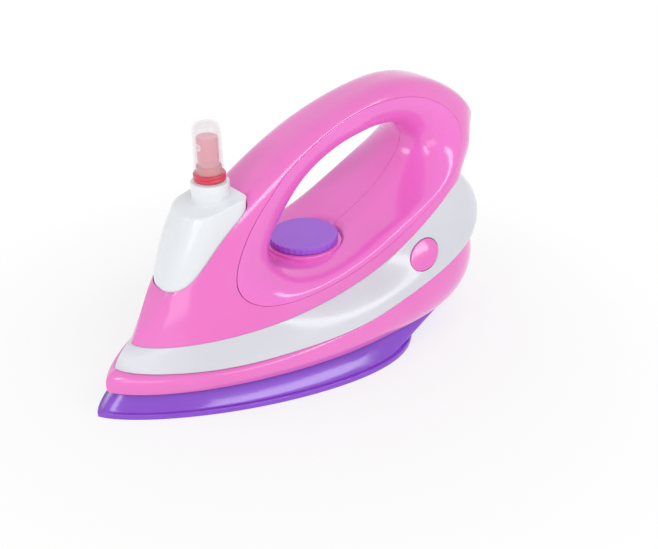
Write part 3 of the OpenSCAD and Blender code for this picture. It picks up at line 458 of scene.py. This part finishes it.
def skirt():
    """The pink ring above the sole, with its floor."""
    def face(t, deep=0.0):
        p = arch(foot(S, deep), bulge(S, deep), waist(S, deep), t[:, None])
        p[:, 2] -= SEAM*t
        return p
    floor = flat_ring(FOOT, FOOT_W, SKIRT_FLOOR_Z, SEAT_INSET + WALL)
    seat = flat_ring(FOOT, FOOT_W, SOLE_H, SEAT_INSET)
    path = [(to_middle(seat), 0), (seat, 0), (foot(S, LIP_W), 0.3)] + wall_rows(face, ROWS, EDGE_R)
    path += [(face(1 - SKIRT_TUCK*np.full_like(S, k/BACK_ROWS), WALL), 0.3 if k == 0 else 0)
             for k in range(BACK_ROWS + 1)]
    path += [(floor, 0), (to_middle(floor), 0)]
    return twin(*weave(rounded(path, False)))


def band():
    """The white band between the skirt and the upper body."""
    def face(t, deep=0.0):
        p = arch(waist(S, deep), belly(S, deep), brow(S, deep), t[:, None])
        p[:, 2] -= SEAM*t
        return p
    path = wall_rows(face, ROWS, EDGE_R)
    path += [(face(1 - np.full_like(S, k/BACK_ROWS), WALL), 0.3 if k in (0, BACK_ROWS) else 0)
             for k in range(BACK_ROWS + 1)]
    return twin(*weave(rounded(path, True), wrap_rows=True))


def upper():
    """The pink upper skin from the groove's edge to the lower edge and the spine."""
    j = np.concatenate([np.arange(RIM_STATIONS)/RIM_STATIONS, 1 + np.arange(SPINE_STATIONS)/SPINE_STATIONS])
    lower = j < 1
    rim = np.stack([np.where(lower, j, 2 - j), np.where(lower, 0, 1)], -1)
    turn = np.where(lower, UPPER_TURN*j, mix(UPPER_TURN, 1, j - 1))
    inner_edge = groove(turn)

    def face(t, deep=0.0):
        q = mix(inner_edge, rim, t[:, None])
        return skin(q[:, 0], q[:, 1], deep)
    ones = np.ones_like(j)
    rows = [face(t*ones) for t in np.linspace(0, 1, ROWS + 1)]
    length = sum(np.linalg.norm(b - a, axis=-1) for a, b in zip(rows, rows[1:]))
    clear = np.minimum(0.25, 1.6*EDGE_R/np.maximum(length, 1e-6))
    end_clear, end_r = np.where(lower, clear, 0), np.where(lower, EDGE_R, 0)[:, None]
    path = [(rows[0], LINE_R)]
    path += [(face(mix(clear, 1 - end_clear, t)), 0) for t in np.linspace(0, 1, ROWS + 1)]
    path += [(rows[-1], end_r)]
    path += [(face(ones*(1 - k/BACK_ROWS), WALL), 0) for k in range(BACK_ROWS + 1)]
    return twin(*weave(rounded(path, True), wrap_rows=True, wrap_cols=True))


def lining():
    """The left lining of the hand hole, from the groove's edge to the middle plane, bevelled round the dial."""
    u = np.linspace(0, 1, TURNS, endpoint=False)
    g = groove(u)
    h = np.stack([BODY_L/2*loop(HOLE_X, u), 0*u + SEAM/2, BODY_H*loop(HOLE_Z, u)], -1)
    out = unit((h - [BODY_L/2*HOLE_MID[0], 0, BODY_H*HOLE_MID[1]])*[1, 0, 1])

    def face(t, deep=0.0):
        edge, run = (mix(g, np.array(GROOVE_MID), share) for share in (GROOVE_INSET, LIP_RUN))
        a = skin(edge[:, 0], edge[:, 1], deep)
        b = a + LIP*unit(skin(run[:, 0], run[:, 1], deep) - a)
        d = h + deep*out
        c = d + a[:, 1:2]*LINING_SWELL*[0, 1, 0]
        t = t[:, None]
        p = a*(1 - t)**3 + b*3*t*(1 - t)**2 + c*3*t**2*(1 - t) + d*t**3
        lean = math.tan(math.radians(DIAL_TILT))
        bevel = DIAL_Z - BEVEL_DROP - BEVEL_THIN*deep - lean*(p[:, 0] - DIAL_X)
        bevel = bevel + BEVEL_SLOPE*(np.hypot(p[:, 0] - DIAL_X, p[:, 1]) - SEAT_R)
        over = np.clip(1 - (bevel - p[:, 2])/BEVEL_BLEND, 0, 2)*(p[:, 2] < LINING_TOP)
        p[:, 2] = np.where(over >= 2, bevel, p[:, 2] - BEVEL_BLEND/4*over**2)
        return p
    ones = np.ones_like(u)
    path = [(face(0*ones), LINE_R)]
    path += [(face(ones*t), 0) for t in np.linspace(0.035, 0.985, LINING_ROWS)]
    path += [(face(ones), 0.22)]
    path += [(face(ones*(1 - k/LINING_BACK_ROWS), WALL), 0) for k in range(LINING_BACK_ROWS + 1)]
    return weave(rounded(path, True), wrap_rows=True, wrap_cols=True)


# ---------------------------------------------------------------- bottle
PLAN = np.linspace(0, 1, 73)


def bottle_plan(d):
    """Half of the bottle's outline seen from above, from its back to its front."""
    a = np.pi*(1 - PLAN)
    back = a > np.pi/2 + 1e-9
    power = np.where(back, PLAN_BACK_POWER, PLAN_FRONT_POWER)
    mid = TANK_BACK + PLAN_MIDDLE*TANK_L
    end = np.where(back, TANK_BACK + d, TANK_BACK + TANK_L - d)
    y = (TANK_W/2 - d)*np.abs(np.sin(a))**(2/power)
    y[0] = y[-1] = 0
    return np.stack([mid + (end - mid)*np.abs(np.cos(a))**(2/power), y], -1)


def bottle_top(x):
    """The height of the bottle's sloping top."""
    front = TANK_BACK + SHOULDER_SHARE*TANK_L
    return SHOULDER_Z + SHOULDER_RISE*(front - x)/(front - TANK_BACK)


def bottle_row(t, d, drop=0.0):
    """The bottle's side at a share t of its leaning part."""
    p = bottle_plan(d)
    x = mix(TANK_BACK + d, p[:, 0], SHOULDER_SHARE)
    rest = np.clip((TANK_BACK + TANK_L - d - p[:, 0])/(TANK_L - 2*d), 0, 1)
    low = np.column_stack([p, mix(LEAN_Z, bottle_top(p[:, 0]) - WALL, rest**SHOULDER_POWER)])
    high = np.stack([x, p[:, 1], bottle_top(x)], -1)
    row = mix(low, high, t)
    row[:, 0] += FRONT_BOW*(p[:, 0] - x)*np.sin(np.pi*t)
    row[:, 2] -= drop
    return row


def circle_row(radius, z):
    """Half a circle round the sprayer's axis, at a height or on a surface z(x)."""
    a = np.pi*(1 - PLAN)
    y = radius*np.sin(a)
    y[0] = y[-1] = 0
    x = SPRAY_X + radius*np.cos(a)
    return np.stack([x, y, z(x) if callable(z) else z + 0*x], -1)


def bottle():
    def base(d, z):
        p = bottle_plan(d)
        return np.column_stack([p, 0*p[:, 0] + z])
    floor, inner_floor = base(0, TANK_FLOOR_Z), base(TANK_WALL, TANK_FLOOR_Z + TANK_WALL)
    edge, root = bottle_row(1, 0), circle_row(NECK_R, bottle_top)
    path = [(to_middle(floor), 0), (floor, 1.5)] + [(bottle_row(t, 0), 0) for t in np.linspace(0, 0.94, 22)]
    path += [(edge, 1.3)] + [(mix(edge, root, t), 0) for t in (0.3, 0.5, 0.7)]
    path += [(root, 1.1), (circle_row(NECK_R, NECK_TOP), 0.5), (circle_row(BORE_R, NECK_TOP), 0.3)]
    path += [(circle_row(BORE_R, lambda x: bottle_top(x) - TANK_WALL), 0), (bottle_row(1, TANK_WALL, TANK_WALL), 0.5)]
    path += [(bottle_row(t, TANK_WALL, TANK_WALL), 0) for t in np.linspace(0.9, 0, 8)]
    path += [(inner_floor, 0.5), (to_middle(inner_floor), 0)]
    return twin(*weave(rounded(path, False)))


def tub_cutter():
    """The room that the bottle takes in the upper body."""
    p = bottle_plan(-TANK_GAP)
    rows = [np.column_stack([p, 0*p[:, 0] + z]) for z in (TANK_FLOOR_Z - SEAM, BODY_H + TANK_L)]
    return twin(*weave(np.array([to_middle(rows[0]), *rows, to_middle(rows[1])])))


# ---------------------------------------------------------------- turned pieces
GASKET_T, RING_T, PLUG_L, PLATE_DROP, PLATE_T, STROKE = 0.5, 3.5, 8.7, 1.2, 2.4, 4
RING_Z = NECK_TOP + GASKET_T
PLUG_Z, COLLAR_Z, PLATE_Z = RING_Z - PLUG_L, RING_Z + RING_T, RING_Z - PLATE_DROP
PLATE_TOP = PLATE_Z + PLATE_T
CHAMBER_COLLAR_R = BORE_R - 1.1*TANK_WALL
RING_R, STEM_ROOM_R, PLUG_FIT = 7.05, 1.65, 0.05
PUSHER_R, PUSHER_WAIST_R, PUSHER_TOP_R, PUSHER_H, PUSHER_DISH = 4.6, 4.3, 3.2, 13.8, 0.5
PUSHER_ROOM_R = PUSHER_R + SEAM
PUSHER_Z = PLATE_TOP + STROKE + 2*SEAM
PUSHER_TOP, STEM_TOP = PUSHER_Z + PUSHER_H, PUSHER_Z + PUSHER_H/4
CAP_R, CAP_WALL, CAP_H, COLLAR_H, CAP_TAPER = 6.35, 0.8, 21.6, 3, 0.4
TIP_R, TIP_BORE_R, TIP_L, TIP_X, TIP_Z = 1.7, 0.35, 2.45, 2.3, 9.6
SHAFT_END, CLIP_TOP, CLIP_LOW, CLIP_DEPTH = -DIAL_T - 16.4, -17, -17.9, 0.8
SEAT_TOP, SEAT_LIP_R, SEAT_FLOOR, SEAT_PAN_R, SEAT_FLANGE = -3.35, 15.4, -4.6, 14.9, 3.4
SEAT_BOSS_R, SEAT_BOSS_TOP, SEAT_BOSS_END, FLANGE_TOP, FLANGE_LOW = 5.5, -3.2, -16.2, -8.6, -10.2
DIAL_FIT, DIAL_DISH, FLUTE_BAND = 0.08, 0.05, 1.6


def closure():
    """The red ring: a plug in the neck, two beads outside and a collar for the cap."""
    bead, collar = RING_T/8, CAP_R - CAP_WALL - PLUG_FIT
    plug_in, plug_out = CHAMBER_COLLAR_R + PLUG_FIT, BORE_R - PLUG_FIT
    return lathe([
        (STEM_ROOM_R, PLATE_Z, 0), (plug_in, PLATE_Z, 0), (plug_in, PLUG_Z, 0),
        (plug_out, PLUG_Z, 0.2), (plug_out, RING_Z, 0), (RING_R - bead, RING_Z, 0.2),
        (RING_R, RING_Z + bead, 0.25), (RING_R, RING_Z + 3*bead, 0.25), (RING_R - bead, RING_Z + 4*bead, 0.2),
        (RING_R, RING_Z + 5*bead, 0.25), (RING_R, RING_Z + 7*bead, 0.25), (RING_R - bead, COLLAR_Z, 0.2),
        (collar, COLLAR_Z, 0.1), (collar, COLLAR_Z + COLLAR_H, 0.2), (PUSHER_ROOM_R, COLLAR_Z + COLLAR_H, 0.1),
        (PUSHER_ROOM_R, PLATE_TOP, 0), (STEM_ROOM_R, PLATE_TOP, 0)])


def overcap():
    """The clear cap, narrowing a little to its rounded top."""
    edge, inner, top = CAP_R/4, CAP_R - CAP_WALL, COLLAR_Z + CAP_H
    return lathe([
        (inner, COLLAR_Z, 0.15), (CAP_R, COLLAR_Z, 0.25), (CAP_R, COLLAR_Z + COLLAR_H, 0),
        (CAP_R - CAP_TAPER, top, 1.5*edge), (0, top, 0), (0, top - CAP_WALL, 0),
        (inner - CAP_TAPER, top - CAP_WALL, 1.2*edge), (inner, COLLAR_Z + COLLAR_H, 0)])


def pusher():
    """The push button of the pump, with a turned waist and a dished top."""
    waist = [(PUSHER_R, 1.6), (PUSHER_WAIST_R, 1.9), (PUSHER_WAIST_R, 3.2), (PUSHER_R, 3.5)]
    return lathe([
        (0, STEM_TOP, 0), (STEM_ROOM_R, STEM_TOP, 0), (STEM_ROOM_R, PUSHER_Z, 0), (PUSHER_R, PUSHER_Z, 0.25),
        *((r, PUSHER_Z + up, 0.2) for r, up in waist),
        (PUSHER_R, PUSHER_TOP, 0.9), (PUSHER_TOP_R, PUSHER_TOP, 0.5), (0, PUSHER_TOP - PUSHER_DISH, 0)])


def nozzle():
    """The spray tip, with a small mouth in its face."""
    return lathe([(TIP_BORE_R, 0, 0), (TIP_R, 0, 0.1), (TIP_R, TIP_L, 0.35), (0.9, TIP_L + 0.05, 0.15),
                  (TIP_BORE_R, TIP_L - 0.25, 0.1)], 48)


def dial_bumps(radius, angle):
    """How far the flutes cut in at a radius and an angle."""
    at_rim = np.clip((radius - DIAL_R + FLUTE_BAND)/(FLUTE_BAND*0.75), 0, 1)
    return -FLUTE_DEPTH*at_rim*np.abs(np.sin(angle*FLUTES/2))**2


def dial():
    """The dial's disc and its shaft, with a groove for the clip."""
    return lathe([
        (0, -DIAL_DISH, 0), (DIAL_R - 1.5*FLUTE_BAND, -DIAL_DISH, 0.2), (DIAL_R - FLUTE_BAND, 0, 0.2),
        (DIAL_R, 0, 0.45), (DIAL_R, -DIAL_T, 0.35), (SHAFT_R, -DIAL_T, 0.3), (SHAFT_R, CLIP_TOP, 0),
        (SHAFT_R - CLIP_DEPTH, CLIP_TOP, 0), (SHAFT_R - CLIP_DEPTH, CLIP_LOW, 0), (SHAFT_R, CLIP_LOW, 0),
        (SHAFT_R, SHAFT_END + CLIP_DEPTH/2, 0), (SHAFT_R - CLIP_DEPTH/2, SHAFT_END, 0), (0, SHAFT_END, 0)],
        segments=12*FLUTES, bumps=dial_bumps)


def dial_seat():
    """The round seat below the dial: a lip, a wall down to the flange on the posts, and a boss for the shaft."""
    hole, under = SHAFT_R + DIAL_FIT, SEAT_FLOOR - 2
    return lathe([
        (hole, SEAT_BOSS_TOP, 0), (SEAT_BOSS_R, SEAT_BOSS_TOP, 0.2), (SEAT_BOSS_R, SEAT_FLOOR, 0),
        (SEAT_LIP_R, SEAT_FLOOR, 0.2), (SEAT_LIP_R, SEAT_TOP, 0.2), (SEAT_R, SEAT_TOP, 0.45), (SEAT_R, FLANGE_TOP, 0),
        (SEAT_R + SEAT_FLANGE, FLANGE_TOP, 0), (SEAT_R + SEAT_FLANGE, FLANGE_LOW, 0), (SEAT_PAN_R, FLANGE_LOW, 0),
        (SEAT_PAN_R, under, 0), (SEAT_BOSS_R, under, 0), (SEAT_BOSS_R, SEAT_BOSS_END, 0), (hole, SEAT_BOSS_END, 0)],
        segments=144)


def oval(part, long, wide):
    """Stretches a turned part along x so that its rim becomes an oval; its spring hole stays round."""
    points, faces = part
    x, y, z = points.T
    r = np.hypot(x, y)
    share = np.where(r > wide, (long + r - wide)/np.maximum(r, TINY), long/wide)
    outside = (r > BUTTON_HOLE_R + 0.05) | (z > BUTTON_LOW)
    return np.stack([np.where(outside, x*share, x), y, z], -1), faces


def at_button(part, side, depth):
    """Puts a part on a side button's axis, at a depth below its rim."""
    x, y, z = part[0].T
    c, s = math.cos(math.radians(BUTTON_ROLL)), math.sin(math.radians(BUTTON_ROLL))
    points, faces = moved((np.stack([c*x - s*y, s*x + c*y, z - depth], -1), part[1]), roll=BUTTON_TILT - 90)
    x, y, z = points.T
    c, s = math.cos(math.radians(BUTTON_YAW)), math.sin(math.radians(BUTTON_YAW))
    points = np.stack([c*x + s*y, c*y - s*x, z], -1) + BUTTON_AT
    return points*[1, side, 1], faces[:, ::side]


def side_button():
    """An oval button with a flange, a slightly domed face and a hole for its spring."""
    rim, foot_r, hole_top = BUTTON_WIDE, BUTTON_WIDE + BUTTON_FLANGE, BUTTON_T/3
    top = [(r, BUTTON_T, 0) for r in np.linspace(rim - 0.9, 0, 16)]
    points, faces = oval(lathe([
        (0, hole_top, 0), (BUTTON_HOLE_R, hole_top, 0), (BUTTON_HOLE_R, 0, 0), (foot_r, 0, 0.2),
        (foot_r, BUTTON_FLANGE_T, 0.2), (rim, BUTTON_FLANGE_T, 0), (rim, BUTTON_T, 0.5), *top], segments=120),
        BUTTON_LONG, BUTTON_WIDE)
    ball = (BUTTON_LONG**2 + BUTTON_DOME**2)/(2*BUTTON_DOME)
    rise = BUTTON_DOME - ball + np.sqrt(ball**2 - points[:, 0]**2 - points[:, 1]**2)
    points[:, 2] += np.clip((points[:, 2] - BUTTON_LOW)/(BUTTON_T - BUTTON_LOW), 0, 1)*rise
    return points, faces


def button_cutter(side):
    """The room for a side button in the white band."""
    rim = BUTTON_WIDE + BUTTON_ROOM
    cylinder = lathe([(0, 0, 0), (rim, 0, 0), (rim, 22, 0), (0, 22, 0)], 120)
    return at_button(oval(cylinder, BUTTON_LONG + BUTTON_ROOM, rim), side, 10)


def screw_room():
    """The room for a front screw and its head."""
    return lathe([(0, -1, 0), (SCREW_HEAD_R, -1, 0), (SCREW_HEAD_R, HEAD_TOP, 0), (SCREW_R, HEAD_TOP, 0),
                  (SCREW_R, SOLE_H + 1, 0), (0, SOLE_H + 1, 0)], 48)


def post_room():
    """The room for the post of a back screw."""
    return lathe([(0, -1, 0), (SCREW_POST_R, -1, 0), (SCREW_POST_R, SOLE_H + 1, 0), (0, SOLE_H + 1, 0)], 48)


def screw_post():
    """A post of the sole round a back screw, with room for the screw's head in its foot."""
    return lathe([(SCREW_HEAD_R, SOLE_FLOOR/2, 0.1), (SCREW_POST_R, SOLE_FLOOR/2, 0.3), (SCREW_POST_R, SOLE_H, 0.1),
                  (SCREW_R, SOLE_H, 0.1), (SCREW_R, HEAD_TOP, 0), (SCREW_HEAD_R, HEAD_TOP, 0)], 48)


# ---------------------------------------------------------------- the object
sole_piece = piece("sole", [sole()], "iron", VIOLET, ["sole_plate"])
for side in (1, -1):
    cut(sole_piece, moved(screw_room(), (SCREW_FRONT[0], side*SCREW_FRONT[1], 0)))
    cut(sole_piece, moved(post_room(), (SCREW_BACK[0], side*SCREW_BACK[1], 0)))
posts = [moved(screw_post(), (SCREW_BACK[0], side*SCREW_BACK[1], 0)) for side in (1, -1)]
piece("sole_posts", posts, "iron", VIOLET)
piece("skirt", [skirt()], "iron", PINK, ["base_skirt"])
white_band = piece("band", [band()], "iron", WHITE, ["side_band"])
for side in (1, -1):
    cut(white_band, button_cutter(side))
upper_body = piece("upper_body", [upper()], "iron", PINK, ["body_shell"])
cut(upper_body, tub_cutter())
left_points, left_faces = lining()
seat_cutter = moved(lathe([(0, -40, 0), (SEAT_R + 0.06, -40, 0), (SEAT_R + 0.06, 6, 0), (0, 6, 0)], 144),
                    (DIAL_X, 0, DIAL_Z), tilt=DIAL_TILT)
# The linings and the seat take the lighter pink, painted light against the shade in the hand hole
for name, side in (("lining_left", 1), ("lining_right", -1)):
    part = (left_points*[1, side, 1], left_faces[:, ::side])
    cut(piece(name, [part], "iron", HOLLOW_PINK_PAINTED_LIGHTER, [name.replace("lining", "liner")]), seat_cutter)
piece("bottle", [bottle()], "iron", BOTTLE, ["water_tank"])
piece("seat", [moved(dial_seat(), (DIAL_X, 0, DIAL_Z), tilt=DIAL_TILT)], "iron", HOLLOW_PINK_PAINTED_LIGHTER, ["dial_seat"])
piece("dial", [moved(dial(), (DIAL_X, 0, DIAL_Z), tilt=DIAL_TILT)], "dial", DIAL, ["dial_knob"], angle=50)
for name, side in (("left", 1), ("right", -1)):
    part = at_button(side_button(), side, BUTTON_T)
    piece("button_" + name, [part], name + "_button", PINK, ["side_button_" + name])
axis = (SPRAY_X, 0, 0)
piece("ring", [moved(closure(), axis)], "pump", RED, ["closure"])
piece("push_button", [moved(pusher(), axis)], "pusher", PUSHER, ["actuator"])
spray_tip = moved(nozzle(), (SPRAY_X + TIP_X, 0, PUSHER_Z + TIP_Z), tilt=90)
piece("spray_tip", [spray_tip], "pusher", NOZZLE, ["nozzle_insert"])
piece("clear_cap", [moved(overcap(), axis)], "cap", CLEAR, ["overcap"])

CARRIED = {
    GREY: ("pump_chamber", "pump_piston", "dip_tube", "dial_washer"), RUBBER: ("gasket",),
    STEEL: ("pump_spring", "inlet_ball", "dial_clip", "button_spring_left", "button_spring_right", "sole_screws")}
for material, names in CARRIED.items():
    for name in names:
        mesh = frame["nodes"][name].data
        mesh.materials.clear()
        mesh.materials.append(material)


# ---------------------------------------------------------------- floor, light and world
FLOOR_HALF = 6
# The floor is matt near the iron and glows white further out, so that only a soft shadow shows
FADE_START, FADE_END, FADE_LEAST = 0.02, 0.2, 0.6
WORLD_LIGHT = 0.53
# Name, place, target, size and power of each lamp
LAMPS = [
    ("key", (-0.07, 0.66, 0.82), (0, 0, 0.05), (0.95, 0.18), 3.0),
    ("window", (0.66, -0.48, 0.46), (-0.06, 0, 0.08), (0.16, 0.16), 0.35),
    ("strip", (0.72, 0.12, 0.5), (0, 0, 0.06), (0.1, 0.35), 0.6),
    ("front", (0.75, 0.45, 0.3), (0.04, 0, 0.06), (0.4, 0.4), 0.75)]


def floor():
    mesh = bpy.data.meshes.new("floor")
    corners = [(x*FLOOR_HALF, y*FLOOR_HALF, 0) for x, y in ((-1, -1), (1, -1), (1, 1), (-1, 1))]
    mesh.from_pydata(corners, [], [(0, 1, 2, 3)])
    obj = bpy.data.objects.new("floor", mesh)
    bpy.context.scene.collection.objects.link(obj)
    material = bpy.data.materials.new("floor_white")
    material.use_nodes = True
    nodes, links = material.node_tree.nodes, material.node_tree.links
    shader = nodes["Principled BSDF"]
    shader.inputs["Base Color"].default_value = (0.96, 0.96, 0.965, 1)
    shader.inputs["Roughness"].default_value = 0.9
    shader.inputs["Specular IOR Level"].default_value = 0.1
    glow = nodes.new("ShaderNodeEmission")
    place = nodes.new("ShaderNodeTexCoord")
    length = nodes.new("ShaderNodeVectorMath")
    length.operation = "LENGTH"
    fade = nodes.new("ShaderNodeMapRange")
    fade.inputs["From Min"].default_value, fade.inputs["From Max"].default_value = FADE_START, FADE_END
    fade.inputs["To Min"].default_value = FADE_LEAST
    blend_node = nodes.new("ShaderNodeMixShader")
    links.new(place.outputs["Object"], length.inputs[0])
    links.new(length.outputs["Value"], fade.inputs["Value"])
    links.new(fade.outputs["Result"], blend_node.inputs["Fac"])
    links.new(shader.outputs["BSDF"], blend_node.inputs[1])
    links.new(glow.outputs["Emission"], blend_node.inputs[2])
    links.new(blend_node.outputs["Shader"], nodes["Material Output"].inputs["Surface"])
    mesh.materials.append(material)


def lamp(name, place, target, size, power):
    """A rectangular lamp that points at a target."""
    data = bpy.data.lights.new(name, "AREA")
    data.shape, data.size, data.size_y, data.energy = "RECTANGLE", *size, power
    obj = bpy.data.objects.new(name, data)
    bpy.context.scene.collection.objects.link(obj)
    obj.location = place
    obj.rotation_euler = (Vector(target) - Vector(place)).to_track_quat("-Z", "Y").to_euler()


def world():
    """White to the camera, in reflections and through clear plastic, and dimmer as a light."""
    data = bpy.data.worlds.new("world")
    bpy.context.scene.world = data
    data.use_nodes = True
    nodes, links = data.node_tree.nodes, data.node_tree.links
    light = nodes["Background"]
    light.inputs["Color"].default_value = (1, 1, 1, 1)
    light.inputs["Strength"].default_value = WORLD_LIGHT
    seen = nodes.new("ShaderNodeBackground")
    seen.inputs["Color"].default_value = (1, 1, 1, 1)
    path = nodes.new("ShaderNodeLightPath")
    join = nodes.new("ShaderNodeMixShader")
    total = nodes.new("ShaderNodeMath")
    total.operation, total.use_clamp = "ADD", True
    links.new(path.outputs["Is Camera Ray"], total.inputs[0])
    links.new(path.outputs["Is Transmission Ray"], total.inputs[1])
    shiny = nodes.new("ShaderNodeMath")
    shiny.operation, shiny.use_clamp = "ADD", True
    links.new(total.outputs["Value"], shiny.inputs[0])
    links.new(path.outputs["Is Glossy Ray"], shiny.inputs[1])
    links.new(shiny.outputs["Value"], join.inputs["Fac"])
    links.new(light.outputs["Background"], join.inputs[1])
    links.new(seen.outputs["Background"], join.inputs[2])
    links.new(join.outputs["Shader"], nodes["World Output"].inputs["Surface"])


floor()
world()
for lamp_row in LAMPS:
    lamp(*lamp_row)
bpy.context.scene.view_settings.view_transform = "Standard"
